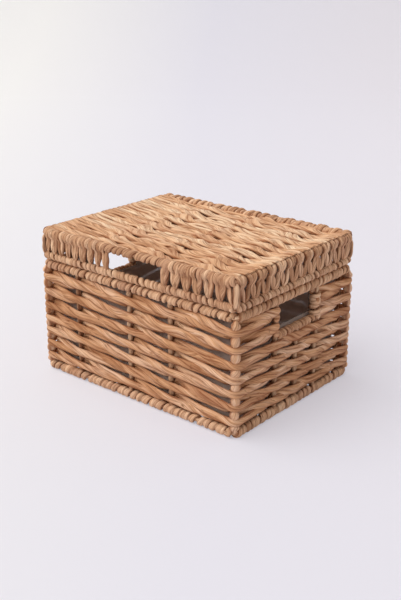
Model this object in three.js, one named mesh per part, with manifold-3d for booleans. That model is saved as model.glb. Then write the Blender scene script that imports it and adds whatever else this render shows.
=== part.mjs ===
// Woven lidded box. Wrapped rims, posts and stakes make a frame that rows of twined flat strand are woven on.
// A clear liner stands inside, and a laced lid with a woven top rests on the body's rim and lifts off.
// Millimetres, +Z up. The origin is the middle of the footprint, on the surface that the box stands on.
// The front is the long side towards -Y. Opposite sides are alike, turned half a turn about Z.

import * as THREE from 'three';
import { mergeVertices } from 'three/addons/utils/BufferGeometryUtils.js';
import Module from 'manifold-3d';

// Whole box
const outerLength = 380;
const outerWidth = 288;
const bodyHeight = 179.5;
const lidHeight = 49.4;
// Gap left between pieces that touch on the real box
const clearance = 0.3;

// Flat strand, twined in pairs. The bite is how far the strands of a pair press into each other side by side.
// A strand spreads to more than its width where it lies on a stake. Part of its width is flat on the outside.
const strandThickness = 5;
const strandFlatShare = 0.55;
const wallBite = 5;
const wallSpread = 1.08;
// Share of the way between two supports in which a strand inside one of them is back at the middle plane
const wallQuickShare = 0.2;
// Length beside a support in which a strand inside it rises from the bottom of its row, or to the top of it
const wallInsideRun = 10;
const panelStrandWidth = 11;
const panelBite = 1.6;
// Length on each side of a panel's stake in which the two strands change places
const panelCrossing = 27;

// Frame of the body
const rimDiameter = 14;
const rimInnerBend = 2;
const cornerPostDiameter = 8;
const stakeDiameter = 5;
// Places of the long sides' stakes, from the middle of the side
const longStakes = [-116, -10, 68];
const rowsBelowHandle = 5;
const rowsBesideHandle = 2;
// Gaps between the rows; those beside the hand holes are looser
const lowerRowGap = 0.8;
const upperRowGap = 3.3;

// Hand holes in the short sides, from the bar's top to the body rim's underside
const handleCentre = 3;
const handlePostSpacing = 98;
const handleHoleHeight = 37.2;
const handleBarDiameter = 10.5;

// Base and liner
const baseWireCount = 3;
const baseLift = 0.8;
const linerWall = 1;
const linerGap = 0.5;
const linerDrop = 6;

// Lid
const lidInset = 7.5;
const lidLowerRimDiameter = 12;
const lidUpperRimDiameter = 10;
const lidPostDiameter = 8;
const lidStakes = [-70, 31, 118];
const lidHoleCentre = 4;
const lidHoleWidth = 98;

// Zigzag lacing of the lid's sides, given by the gaps between its legs
const lacingThickness = 7;
const lacingPitch = 16;
const lacingGapWidth = 6;
const lacingGapHeight = 10;
const lacingMargin = 3;
const lacingBand = 1.2;

// Colours
const strandColour = 0xb98c63;
const rimColour = 0xb48660;
const stakeColour = 0x9a7a55;
const linerColour = 0xdfe6ea;

const up = new THREE.Vector3(0, 0, 1);
const right = new THREE.Vector3(1, 0, 0);
const left = new THREE.Vector3(-1, 0, 0);
const back = new THREE.Vector3(0, 1, 0);
const front = new THREE.Vector3(0, -1, 0);

const wasm = await Module();
wasm.setup();

const basket = new THREE.Group();
const lid = new THREE.Group();

function addPiece(group, name, geometry, colour, place, turn = 0) {
  const material = new THREE.MeshStandardMaterial({ color: colour, roughness: 0.8, flatShading: true });
  const mesh = new THREE.Mesh(geometry, material);
  mesh.name = name;
  mesh.position.copy(place);
  mesh.rotation.z = turn;
  group.add(mesh);
}

function at(x, y, z) {
  return new THREE.Vector3(x, y, z);
}

function toSolid(geometry) {
  const bare = geometry.clone();
  bare.deleteAttribute('normal');
  bare.deleteAttribute('uv');
  const welded = mergeVertices(bare, 1e-4);
  const vertProperties = new Float32Array(welded.attributes.position.array);
  const triVerts = new Uint32Array(welded.index.array);
  return new wasm.Manifold(new wasm.Mesh({ numProp: 3, vertProperties, triVerts }));
}

function toGeometry(solid) {
  const mesh = solid.getMesh();
  const geometry = new THREE.BufferGeometry();
  geometry.setAttribute('position', new THREE.BufferAttribute(new Float32Array(mesh.vertProperties), 3));
  geometry.setIndex(new THREE.BufferAttribute(new Uint32Array(mesh.triVerts), 1));
  geometry.computeVertexNormals();
  return geometry;
}

function fuse(geometries) {
  return toGeometry(wasm.Manifold.union(geometries.map(toSolid)));
}

// Skin over a row of cross-sections with equal point counts, closed into a loop or capped at both ends
function sweep(sections, isLoop) {
  const count = sections[0].length;
  const points = sections.flat();
  const faces = [];
  const last = isLoop ? sections.length : sections.length - 1;
  for (let i = 0; i < last; i += 1) {
    const here = i * count;
    const there = ((i + 1) % sections.length) * count;
    for (let j = 0; j < count; j += 1) {
      const k = (j + 1) % count;
      faces.push(here + j, there + j, here + k);
      faces.push(here + k, there + j, there + k);
    }
  }
  if (!isLoop) {
    const end = (sections.length - 1) * count;
    for (let j = 1; j < count - 1; j += 1) {
      faces.push(0, j, j + 1);
      faces.push(end, end + j + 1, end + j);
    }
  }
  const geometry = new THREE.BufferGeometry();
  geometry.setAttribute('position', new THREE.Float32BufferAttribute(points.flatMap((p) => p.toArray()), 3));
  geometry.setIndex(faces);
  geometry.computeVertexNormals();
  return geometry;
}

// Strand on its way past posts and stakes
const cornerDepth = cornerPostDiameter / 2 + clearance + strandThickness / 2;
const stakeDepth = stakeDiameter / 2 + clearance + strandThickness / 2;

// Width of a strand whose pair, side by side, fills a row's pitch but for a gap
function strandWidthIn(pitch, gap, bite) {
  return (pitch - gap + bite) / 2;
}

// Strand width of a wall's row, and how far its strands move down and up. Next to a like row they move
// further, because its strands move out of their way there.
function rowShape(pitch, gap, isLikeBelow, isLikeAbove) {
  const width = strandWidthIn(pitch, gap, wallBite);
  const drop = width - wallBite;
  return { width, drop, down: isLikeBelow ? drop : drop / 2, up: isLikeAbove ? drop : drop / 2 };
}

// Middle planes of the body's walls
const wallInset = cornerDepth + strandThickness / 2;
const halfLength = outerLength / 2 - wallInset;
const halfWidth = outerWidth / 2 - wallInset;
const shortStakes = [-1, 0, 1].map((step) => handleCentre + (step * handlePostSpacing) / 2);

// Sides in turn from the front, each seen from outside with its length running to the right
function makeSides(reachX, reachY) {
  return [
    { along: right, out: front, reach: reachX, offset: reachY, stakes: longStakes },
    { along: back, out: right, reach: reachY, offset: reachX, stakes: shortStakes },
    { along: left, out: back, reach: reachX, offset: reachY, stakes: longStakes },
    { along: front, out: left, reach: reachY, offset: reachX, stakes: shortStakes },
  ];
}

function pointOn(side, along, height) {
  const point = side.out.clone().multiplyScalar(side.offset);
  point.addScaledVector(side.along, along);
  return point.addScaledVector(up, height);
}

const sides = makeSides(halfLength, halfWidth);
const sideNames = ['front', 'right', 'back', 'left'];
const cornerNames = ['front_left', 'front_right', 'back_right', 'back_left'];

// Cross-section of a strand: a flat outer face, an edge on each side and a ridge inside
function strandSection(centre, out, across, width, depth, lift) {
  const outer = strandThickness / 2;
  const flat = (strandFlatShare * width) / 2;
  const places = [[outer, -flat], [outer, flat], [0, width / 2], [-outer, 0], [0, -width / 2]];
  return places.map(([outward, sideways]) => {
    const point = centre.clone().addScaledVector(out, depth + outward);
    return point.addScaledVector(across, lift + sideways);
  });
}

// Sections of a wall's strand where it passes one support, outside it (sign 1) or inside it (sign -1)
function passSections(support, sign, row) {
  const { centre, places, outs, depth } = support;
  if (outs.length === 1) {
    const width = sign > 0 ? row.width * wallSpread : row.width;
    return places.map((place) => strandSection(place, outs[0], up, width, sign * depth, 0));
  }
  const both = outs[0].clone().add(outs[1]);
  if (sign < 0) return [strandSection(centre, both, up, row.width, -depth, 0)];
  const turn = [outs[0], both.normalize(), outs[1]];
  return turn.map((out) => strandSection(centre, out, up, row.width, depth, 0));
}

// Sections between two supports. The strand comes out from inside a support at the top of its row, or goes
// in at the bottom of it. Between there and the support that it passes outside it runs evenly.
function gapSections(support, next, sign, row) {
  const inside = sign < 0 ? support : next;
  const length = support.centre.distanceTo(next.centre);
  const out = support.outs[support.outs.length - 1];
  const shares = [wallInsideRun / length, wallQuickShare];
  if (sign > 0) shares.reverse();
  return shares.map((share) => {
    const centre = support.centre.clone().lerp(next.centre, sign < 0 ? share : 1 - share);
    const depth = inside.depth * (share / wallQuickShare - 1);
    const lift = THREE.MathUtils.clamp(-sign * row.drop * (1 - share), -row.down, row.up);
    return strandSection(centre, out, up, row.width, depth, lift);
  });
}

// One strand of a wall's twined pair, which passes supports outside and inside by turns
function wallStrand(supports, firstSign, row, isLoop) {
  const sections = [];
  const count = supports.length;
  supports.forEach((support, index) => {
    const sign = index % 2 === 0 ? firstSign : -firstSign;
    sections.push(...passSections(support, sign, row));
    if (!isLoop && index === count - 1) return;
    sections.push(...gapSections(support, supports[(index + 1) % count], sign, row));
  });
  return sweep(sections, isLoop);
}

function wallRow(supports, row, isLoop) {
  return fuse([1, -1].map((firstSign) => wallStrand(supports, firstSign, row, isLoop)));
}

// Supports of the body's rows
function cornerSupport(sideIndex) {
  const side = sides[sideIndex % 4];
  const before = sides[(sideIndex + 3) % 4];
  return { centre: pointOn(side, -side.reach, 0), outs: [before.out, side.out], depth: cornerDepth };
}

function stakeSupport(sideIndex, along) {
  const side = sides[sideIndex % 4];
  const centre = pointOn(side, along, 0);
  return { centre, places: [centre], outs: [side.out], depth: stakeDepth };
}

function sideSupports(sideIndex) {
  const stakes = sides[sideIndex % 4].stakes.map((along) => stakeSupport(sideIndex, along));
  return [cornerSupport(sideIndex), ...stakes];
}

// Heights of the body
const rowsBottom = rimDiameter + clearance;
const rimUnderside = bodyHeight - rimDiameter;
const handleBarHeight = rimUnderside - handleHoleHeight - handleBarDiameter / 2;
const lowerRowsTop = handleBarHeight - handleBarDiameter / 2;
const lowerRowPitch = (lowerRowsTop - rowsBottom) / rowsBelowHandle;
const upperRowPitch = (rimUnderside - lowerRowsTop) / rowsBesideHandle;

// Rims: tubes with eight flats, one of them underneath and one on top
function rim(reachX, reachY, diameter) {
  const bend = diameter / 2 + rimInnerBend;
  const bendSteps = 3;
  const flats = 8;
  const tipRadius = diameter / 2 / Math.cos(Math.PI / flats);
  const sections = [];
  const corners = [[1, -1], [1, 1], [-1, 1], [-1, -1]];
  corners.forEach(([signX, signY], index) => {
    for (let step = 0; step <= bendSteps; step += 1) {
      const angle = (index - 1 + step / bendSteps) * (Math.PI / 2);
      const out = at(Math.cos(angle), Math.sin(angle), 0);
      const centre = at(signX * (reachX - bend), signY * (reachY - bend), 0);
      centre.addScaledVector(out, bend);
      const section = [];
      for (let flat = 0; flat < flats; flat += 1) {
        const tilt = ((flat + 0.5) * 2 * Math.PI) / flats;
        const tip = centre.clone().addScaledVector(out, tipRadius * Math.cos(tilt));
        section.push(tip.addScaledVector(up, tipRadius * Math.sin(tilt)));
      }
      sections.push(section);
    }
  });
  return sweep(sections, true);
}

// Round rods, upright or along Y, about their own middle
function upright(length, diameter) {
  return new THREE.CylinderGeometry(diameter / 2, diameter / 2, length, 8).rotateX(Math.PI / 2);
}

function crossBar(length, diameter) {
  return new THREE.CylinderGeometry(diameter / 2, diameter / 2, length, 8);
}

// Body frame
const bodyRim = rim(halfLength, halfWidth, rimDiameter);
addPiece(basket, 'base_rim', bodyRim, rimColour, at(0, 0, rimDiameter / 2));
addPiece(basket, 'body_rim', bodyRim, rimColour, at(0, 0, bodyHeight - rimDiameter / 2));

const frameBottom = rimDiameter + clearance;
const frameTop = rimUnderside - clearance;
sides.forEach((side, index) => {
  const cornerPost = upright(frameTop - frameBottom, cornerPostDiameter);
  const cornerPlace = pointOn(side, -side.reach, (frameBottom + frameTop) / 2);
  addPiece(basket, `corner_post_${cornerNames[index]}`, cornerPost, stakeColour, cornerPlace);
  side.stakes.forEach((along, number) => {
    const isUnderBar = side.stakes === shortStakes && number === 1;
    const top = isUnderBar ? lowerRowsTop - clearance : frameTop;
    const place = pointOn(side, along, (frameBottom + top) / 2);
    const name = `${sideNames[index]}_stake_${number + 1}`;
    addPiece(basket, name, upright(top - frameBottom, stakeDiameter), stakeColour, place);
  });
});

// Rows that go all the way round
const allSupports = [0, 1, 2, 3].flatMap(sideSupports);
for (let row = 0; row < rowsBelowHandle; row += 1) {
  const shape = rowShape(lowerRowPitch, lowerRowGap, row > 0, row < rowsBelowHandle - 1);
  const height = rowsBottom + (row + 0.5) * lowerRowPitch - clearance / 2;
  addPiece(basket, `row_${row + 1}`, wallRow(allSupports, shape, true), strandColour, at(0, 0, height));
}

// Rows beside the hand holes, from hole to hole round the front, with ends just past the holes' posts
const frontSupports = [
  stakeSupport(3, shortStakes[2]),
  ...sideSupports(0),
  cornerSupport(1),
  stakeSupport(1, shortStakes[0]),
];
const firstPost = frontSupports[0];
const lastPost = frontSupports[frontSupports.length - 1];
firstPost.places.unshift(firstPost.centre.clone().addScaledVector(sides[3].along, -stakeDiameter / 2));
lastPost.places.push(lastPost.centre.clone().addScaledVector(sides[1].along, stakeDiameter / 2));
for (let row = 0; row < rowsBesideHandle; row += 1) {
  const shape = rowShape(upperRowPitch, upperRowGap, row > 0, row < rowsBesideHandle - 1);
  const halfRow = wallRow(frontSupports, shape, false);
  const place = at(0, 0, lowerRowsTop + (row + 0.5) * upperRowPitch);
  const number = rowsBelowHandle + row + 1;
  addPiece(basket, `row_${number}_front`, halfRow, strandColour, place);
  addPiece(basket, `row_${number}_back`, halfRow, strandColour, place, Math.PI);
}

// Bars at the bottom of the hand holes
const handleBar = crossBar(handlePostSpacing - stakeDiameter - 2 * clearance, handleBarDiameter);
[1, 3].forEach((index) => {
  const place = pointOn(sides[index], handleCentre, handleBarHeight);
  addPiece(basket, `handle_bar_${sideNames[index]}`, handleBar, rimColour, place);
});

// One strand of a straight row along X on a panel's cross wires. It runs beside its twin, and the two change
// places over and under each wire, where they spread. Its ends rise by a given height.
function panelStrand(reach, wires, firstSign, width, spread, endRise) {
  let lift = (firstSign * (width - panelBite)) / 2;
  const sections = [strandSection(at(-reach, 0, 0), up, back, width, endRise, lift)];
  wires.forEach((x, index) => {
    const sign = index % 2 === 0 ? firstSign : -firstSign;
    sections.push(strandSection(at(x - panelCrossing, 0, 0), up, back, width, 0, lift));
    sections.push(strandSection(at(x, 0, 0), up, back, spread, sign * stakeDepth, 0));
    lift = -lift;
    sections.push(strandSection(at(x + panelCrossing, 0, 0), up, back, width, 0, lift));
  });
  sections.push(strandSection(at(reach, 0, 0), up, back, width, endRise, lift));
  return sweep(sections, false);
}

function panelPair(reach, wires, width, spread, endRise) {
  return [1, -1].map((firstSign) => panelStrand(reach, wires, firstSign, width, spread, endRise));
}

const panelHalf = stakeDepth + strandThickness / 2;
const panelRowWidth = 2 * panelStrandWidth - panelBite;

// Base: wires across, and rows woven on them into one panel, pressed into each other on the wires
const baseHeight = baseLift + panelHalf;
const baseReachX = halfLength - rimDiameter / 2 - clearance;
const baseReachY = halfWidth - rimDiameter / 2 - clearance;
const baseWires = [];
const baseWire = crossBar(2 * baseReachY, stakeDiameter);
for (let wire = 1; wire <= baseWireCount; wire += 1) {
  const x = baseReachX * ((2 * wire) / (baseWireCount + 1) - 1);
  baseWires.push(x);
  addPiece(basket, `base_wire_${wire}`, baseWire, stakeColour, at(x, 0, baseHeight));
}
const baseRowPitch = panelRowWidth + clearance;
const baseRowCount = Math.floor((2 * baseReachY - panelBite) / baseRowPitch);
const baseStrands = [];
for (let row = 0; row < baseRowCount; row += 1) {
  const y = (row - (baseRowCount - 1) / 2) * baseRowPitch;
  const pair = panelPair(baseReachX, baseWires, panelStrandWidth, baseRowPitch + panelBite, 0);
  baseStrands.push(...pair.map((geometry) => geometry.translate(0, y, 0)));
}
addPiece(basket, 'base_weave', fuse(baseStrands), strandColour, at(0, 0, baseHeight));

// Liner: an open box of clear sheet, notched behind each hand hole down to the bar's middle
const linerX = 2 * (halfLength - wallInset - linerGap);
const linerY = 2 * (halfWidth - wallInset - linerGap);
const linerBottom = baseHeight + panelHalf + clearance;
const linerTop = bodyHeight - linerDrop;
const cutTop = linerTop + linerWall;

function block(sizeX, sizeY, bottom, top, x, y) {
  const geometry = new THREE.BoxGeometry(sizeX, sizeY, top - bottom);
  return toSolid(geometry.translate(x, y, (bottom + top) / 2));
}

const linerFloor = linerBottom + linerWall;
const linerHollow = block(linerX - 2 * linerWall, linerY - 2 * linerWall, linerFloor, cutTop, 0, 0);
let liner = block(linerX, linerY, linerBottom, linerTop, 0, 0).subtract(linerHollow);
[-1, 1].forEach((sign) => {
  const x = (sign * linerX) / 2;
  const y = sign * handleCentre;
  liner = liner.subtract(block(4 * linerWall, handlePostSpacing, handleBarHeight, cutTop, x, y));
});
addPiece(basket, 'liner', toGeometry(liner), linerColour, at(0, 0, 0));

// Lid frame, with heights above the lid's resting face
const lidReachX = outerLength / 2 - lidInset;
const lidReachY = outerWidth / 2 - lidInset;
const lidSides = makeSides(lidReachX, lidReachY);
const lowerRim = rim(lidReachX, lidReachY, lidLowerRimDiameter);
const upperRim = rim(lidReachX, lidReachY, lidUpperRimDiameter);
addPiece(lid, 'lid_lower_rim', lowerRim, rimColour, at(0, 0, lidLowerRimDiameter / 2));
addPiece(lid, 'lid_upper_rim', upperRim, rimColour, at(0, 0, lidHeight - lidUpperRimDiameter / 2));

const lacingBottom = lidLowerRimDiameter + clearance;
const lacingHeight = lidHeight - lidUpperRimDiameter - clearance - lacingBottom;
const lidPost = upright(lacingHeight, lidPostDiameter);
lidSides.forEach((side, index) => {
  const place = pointOn(side, -side.reach, lacingBottom + lacingHeight / 2);
  addPiece(lid, `lid_post_${cornerNames[index]}`, lidPost, stakeColour, place);
});

// Lacing: a flat band with rows of triangular gaps, so that zigzag legs are left between them
function triangle(middle, base, tip) {
  const shape = new THREE.Shape();
  shape.moveTo(middle - lacingGapWidth / 2, base);
  shape.lineTo(middle + lacingGapWidth / 2, base);
  shape.lineTo(middle, tip);
  return shape;
}

function rectangle(start, end, bottom, top) {
  const shape = new THREE.Shape();
  shape.moveTo(start, bottom);
  shape.lineTo(end, bottom);
  shape.lineTo(end, top);
  shape.lineTo(start, top);
  return shape;
}

function slab(shape, thickness) {
  const geometry = new THREE.ExtrudeGeometry(shape, { depth: thickness, bevelEnabled: false });
  return toSolid(geometry.translate(0, 0, -thickness / 2));
}

function gapShapes(start, end) {
  const shapes = [];
  const count = Math.max(1, Math.round((end - start) / lacingPitch));
  const pitch = (end - start) / count;
  const upperBase = lacingHeight - lacingMargin;
  for (let gap = 0; gap < count; gap += 1) {
    const middle = start + (gap + 0.5) * pitch;
    shapes.push(triangle(middle, lacingMargin, lacingMargin + lacingGapHeight));
    if (gap > 0) shapes.push(triangle(middle - pitch / 2, upperBase, upperBase - lacingGapHeight));
  }
  return shapes;
}

function lacing(side) {
  const reach = side.reach - lidPostDiameter / 2 - clearance;
  const gaps = [];
  if (side.stakes === longStakes) {
    const holeStart = lidHoleCentre - lidHoleWidth / 2;
    const holeEnd = lidHoleCentre + lidHoleWidth / 2;
    gaps.push(rectangle(holeStart, holeEnd, lacingBand, lacingHeight - lacingBand));
    gaps.push(...gapShapes(-reach, holeStart), ...gapShapes(holeEnd, reach));
  } else {
    gaps.push(...gapShapes(-reach, reach));
  }
  const band = slab(rectangle(-reach, reach, 0, lacingHeight), lacingThickness);
  const cutters = gaps.map((shape) => slab(shape, 2 * lacingThickness));
  return toGeometry(band.subtract(wasm.Manifold.union(cutters))).rotateX(Math.PI / 2);
}

lidSides.forEach((side, index) => {
  const place = pointOn(side, 0, lacingBottom);
  addPiece(lid, `lid_lacing_${sideNames[index]}`, lacing(side), strandColour, place, (index * Math.PI) / 2);
});

// Lid top: stakes across, and separate twined rows on them
const topReachX = lidReachX - lidUpperRimDiameter / 2 - clearance;
const topReachY = lidReachY - lidUpperRimDiameter / 2 - clearance;
const topHeight = lidHeight - panelHalf;
const lidStake = crossBar(2 * topReachY, stakeDiameter);
lidStakes.forEach((x, index) => {
  addPiece(lid, `lid_stake_${index + 1}`, lidStake, stakeColour, at(x, 0, topHeight));
});
const lidRowCount = Math.floor((2 * topReachY) / (panelRowWidth + clearance));
const lidRowPitch = (2 * topReachY) / lidRowCount;
const lidStrandWidth = strandWidthIn(lidRowPitch, clearance, panelBite);
const lidRow = fuse(panelPair(topReachX, lidStakes, lidStrandWidth, lidRowPitch - clearance, stakeDepth));
for (let row = 0; row < lidRowCount; row += 1) {
  const y = (row + 0.5) * lidRowPitch - topReachY;
  addPiece(lid, `lid_row_${row + 1}`, lidRow, strandColour, at(0, y, topHeight));
}

lid.position.z = bodyHeight + clearance;
const part = new THREE.Group();
part.add(basket, lid);

export default part;
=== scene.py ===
from math import cos, pi, radians, sin, sqrt

import bpy
import numpy as np
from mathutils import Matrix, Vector


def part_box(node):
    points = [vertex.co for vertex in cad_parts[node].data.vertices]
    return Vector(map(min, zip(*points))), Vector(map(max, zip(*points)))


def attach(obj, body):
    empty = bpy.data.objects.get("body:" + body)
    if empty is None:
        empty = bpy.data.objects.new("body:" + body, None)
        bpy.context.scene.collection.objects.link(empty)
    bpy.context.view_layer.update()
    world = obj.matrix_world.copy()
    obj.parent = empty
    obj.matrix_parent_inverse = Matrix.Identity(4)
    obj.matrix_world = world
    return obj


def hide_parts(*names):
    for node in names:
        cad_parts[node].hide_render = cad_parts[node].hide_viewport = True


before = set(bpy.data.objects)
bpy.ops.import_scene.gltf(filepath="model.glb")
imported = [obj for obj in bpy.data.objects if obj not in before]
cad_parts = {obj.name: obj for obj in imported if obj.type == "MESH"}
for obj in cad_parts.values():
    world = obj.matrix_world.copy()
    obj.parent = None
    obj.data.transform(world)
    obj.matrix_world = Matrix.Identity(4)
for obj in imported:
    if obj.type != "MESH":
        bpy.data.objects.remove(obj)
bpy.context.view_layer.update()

UP = np.array([0.0, 0.0, 1.0])
TURN = 2 * pi
QUARTER = pi / 2
PER_METRE = 1000
seeded = np.random.default_rng


# Places, in millimetres

def low_high(node):
    low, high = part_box(node)
    return PER_METRE * np.array(low), PER_METRE * np.array(high)


def centre(node):
    low, high = low_high(node)
    return (low + high) / 2


class Side:
    """One side of the box, seen from outside with its length running to the right."""

    def __init__(self, name, along, out, reach, offset):
        self.name = name
        self.along = np.array([*along, 0.0])
        self.out = np.array([*out, 0.0])
        self.reach = reach
        self.offset = offset

    def point(self, along, depth=0, height=0):
        """Points from distances along the side, out of its middle plane, and up."""
        along, depth, height = np.broadcast_arrays(along, depth, height)
        flat = self.out * (self.offset + depth)[..., None] + self.along * along[..., None]
        return flat + UP * height[..., None]


def make_sides(corner):
    x, y = np.abs(corner[:2])
    return [
        Side("front", (1, 0), (0, -1), x, y),
        Side("right", (0, 1), (1, 0), y, x),
        Side("back", (-1, 0), (0, 1), x, y),
        Side("left", (0, -1), (-1, 0), y, x),
    ]


# Each corner is where the side of the same number starts
CORNERS = ["front_left", "front_right", "back_right", "back_left"]
LONG_SIDES = (0, 2)
STAKES = (1, 2, 3)
WALLS = make_sides(centre("corner_post_front_right"))
LID_SIDES = make_sides(centre("lid_post_front_right"))
for wall in WALLS:
    wall.stakes = [centre(f"{wall.name}_stake_{n}") @ wall.along for n in STAKES]

# How far a strand passes from a support's middle. Light shows only inside the back right corner's post.
STAKE_DEPTH = 5.3
CORNER_DEPTH = 7.2
CORNER_INSIDE = (4.8, 4.8, 7.2, 4.8)


# Curves

def unit(v):
    return v / np.maximum(np.linalg.norm(v, axis=-1, keepdims=True), 1e-9)


def wander(rng, s, total, waves, closed=False):
    """A smooth random curve along a strand, mostly between -1 and 1."""
    value = np.zeros_like(s)
    for wave in waves:
        cycles = total / wave
        if closed:
            cycles = max(1, round(cycles))
        value += rng.uniform(0.6, 1) * np.sin(TURN * (cycles * s / total + rng.random()))
    return value / sqrt(len(waves))


def varied(rng, path, amount, waves, closed=False):
    """Shares along a path that differ from 1 by about an amount."""
    return 1 + amount * wander(rng, *run_length(path, closed), waves, closed)


def run_length(path, closed=False):
    """Distances along a path, and its whole length."""
    steps = np.linalg.norm(np.diff(path, axis=0), axis=1)
    s = np.concatenate([[0], np.cumsum(steps)])
    total = s[-1]
    if closed:
        total += np.linalg.norm(path[0] - path[-1])
    return s, total


def read(where, s, columns):
    """Columns at places along their path."""
    return np.stack([np.interp(where, s, column) for column in columns.T], axis=1)


def even(columns, step, closed=False):
    """Resamples columns, of which the first three are a place, at even steps."""
    s, total = run_length(columns[:, :3], closed)
    if closed:
        s = np.append(s, total)
        columns = np.vstack([columns, columns[:1]])
    count = max(4, round(total / step))
    where = np.linspace(0, total, count + 1)
    if closed:
        where = where[:-1]
    return read(where, s, columns)


def soften(columns, closed=False):
    for _ in range(2):
        smooth = (np.roll(columns, 1, 0) + 2 * columns + np.roll(columns, -1, 0)) / 4
        if not closed:
            smooth[0], smooth[-1] = columns[0], columns[-1]
        columns = smooth
    return columns


def spline(points, step):
    """A smooth curve through rows of points with extra columns, at even steps."""
    points = np.asarray(points, float)
    h = np.maximum(np.linalg.norm(np.diff(points[:, :3], axis=0), axis=1), 1e-6)
    slope = np.diff(points, axis=0) / h[:, None]
    tangent = np.empty_like(points)
    tangent[0], tangent[-1] = slope[0], slope[-1]
    weight = (h[1:] / (h[:-1] + h[1:]))[:, None]
    tangent[1:-1] = slope[:-1] * weight + slope[1:] * (1 - weight)
    pieces = []
    for i, length in enumerate(h):
        t = np.linspace(0, 1, max(3, int(length)), endpoint=False)[:, None]
        pieces.append(
            (1 + 2 * t) * (1 - t) ** 2 * points[i]
            + t * (1 - t) ** 2 * length * tangent[i]
            + t * t * (3 - 2 * t) * points[i + 1]
            + t * t * (t - 1) * length * tangent[i + 1]
        )
    pieces.append(points[-1:])
    return even(np.vstack(pieces), step)


def straight(place, axis, values):
    """A straight path through a place, along one axis."""
    path = np.tile(place, (len(values), 1))
    path[:, axis] = values
    return path


# Strands and their meshes

# Steps that round off an open end: shares of the thickness to go on by, and of the size to keep
END_ROUND = np.array([(0.22, 0.86), (0.38, 0.6), (0.45, 0.25)])
# For baking, a strand is laid out in lengths of about this, with a gap between them
BAKE_LENGTH = 120
BAKE_GAP = 0.8


def round_ends(path, out, width, thick):
    """Adds short, narrowing steps at both ends of a strand."""
    reach, narrow = END_ROUND[:, :1], END_ROUND[:, 1]
    for _ in range(2):
        path, out, width, thick = path[::-1], out[::-1], width[::-1], thick[::-1]
        path = np.vstack([path, path[-1] + reach * thick[-1] * unit(path[-1] - path[-2])])
        out = np.vstack([out, np.repeat(out[-1:], len(END_ROUND), 0)])
        width = np.append(width, width[-1] * narrow)
        thick = np.append(thick, thick[-1] * narrow)
    return path, out, width, thick


def make_strand(
    path, out, width, thick, rng, closed=False, sides=24,
    folds=1, roll=0.2, flat=0.85, twist=1 / 125, keen=None,
):
    """Sweeps a flat section of three twisted folds along a path. A keen one has sharp edges. It carries
    painted shade for the valleys where folds meet, both side edges and, on a keen one, the lower edge.
    """
    width, thick = (np.broadcast_to(size, len(path)).astype(float) for size in (width, thick))
    out = np.broadcast_to(out, path.shape)
    if not closed:
        path, out, width, thick = round_ends(path, out, width, thick)
    s, total = run_length(path, closed)

    def roam(*waves):
        return wander(rng, s, total, waves, closed)

    if closed:
        along = unit(np.roll(path, -1, 0) - np.roll(path, 1, 0))
    else:
        along = unit(np.gradient(path, axis=0))
    v = unit(out - along * np.sum(out * along, axis=1, keepdims=True))
    u = np.cross(v, along)
    lean = (roll * roam(55, 90, 150))[:, None]
    u, v = u * np.cos(lean) + v * np.sin(lean), v * np.cos(lean) - u * np.sin(lean)
    angle = np.arange(sides) * TURN / sides
    turns = total * twist * rng.uniform(0.8, 1.25)
    if closed:
        turns = round(turns)
    turned = TURN * turns * s / total + 0.9 * roam(70, 120, 190)
    fold = np.abs(np.cos(1.5 * (angle - (turned + TURN * rng.random())[:, None])))
    depth = folds * (0.33 + 0.13 * roam(45, 80))[:, None]
    shape = 1 + depth * (fold - 0.75)
    for count, amount in ((2, 0.04), (5, 0.03)):
        drift = roam(70, 120) + TURN * rng.random()
        shape += folds * amount * np.sin(count * angle + drift[:, None])
    across, through = np.cos(angle), np.sin(angle)
    # Painted shade for the material: dark along both side edges and in the valleys where folds meet, where
    # shade falls between strands, and on a keen strand under its lower edge, which light from above does not
    # reach
    edge = 0.8 * np.abs(across) ** 6
    fold_shade = np.clip(depth * (7 if keen else 4) - 0.5, 0, 1) * (1 - fold) ** 3
    if keen:
        edge = np.maximum(edge, np.clip(-across, 0, 1) ** 3)
    across = np.sign(across) * np.abs(across) ** flat
    through = np.sign(through) * np.abs(through) ** (keen or flat)
    grid = (
        path[:, None, :]
        + u[:, None, :] * (0.5 * width[:, None] * across * shape)[..., None]
        + v[:, None, :] * (0.5 * thick[:, None] * through * shape)[..., None]
    )
    girth = 1.75 * float(np.mean(width) + np.mean(thick))
    return dict(
        grid=grid,
        s=s + 1000 * rng.random(),
        total=total,
        closed=closed,
        tint=rng.random(),
        girth=girth,
        shear=-girth * turned / TURN,
        crease=np.maximum(fold_shade, edge),
    )


def cut(strand, first, last):
    """Part of an open strand, as a strand."""
    kept = {key: strand[key][first:last] for key in ("grid", "s", "shear", "crease")}
    return dict(strand, **kept, total=kept["s"][-1] - kept["s"][0])


def pack_boxes(sizes, gap):
    """Lays boxes on shelves in a square. Returns their corners and the square's side."""
    sizes = np.array(sizes) + gap
    side = max(sqrt(1.1 * sizes.prod(axis=1).sum()), sizes[:, 0].max())
    while True:
        corners, x, y, shelf = np.zeros_like(sizes), 0, 0, 0
        for n in np.argsort(-sizes[:, 1], kind="stable"):
            w, h = sizes[n]
            if x + w > side:
                x, y, shelf = 0, y + shelf, 0
            corners[n] = x, y
            x, shelf = x + w, max(shelf, h)
        if y + shelf <= side:
            return corners, side
        side *= 1.02


def added(name, data):
    thing = bpy.data.objects.new(name, data)
    bpy.context.scene.collection.objects.link(thing)
    return thing


def show(name, mesh, node):
    """Puts a mesh in the scene as the piece that shows a node, on the body that has the node."""
    piece = added(name, mesh)
    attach(piece, "lid" if node.startswith("lid_") else "basket")
    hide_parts(node)
    return piece


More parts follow.
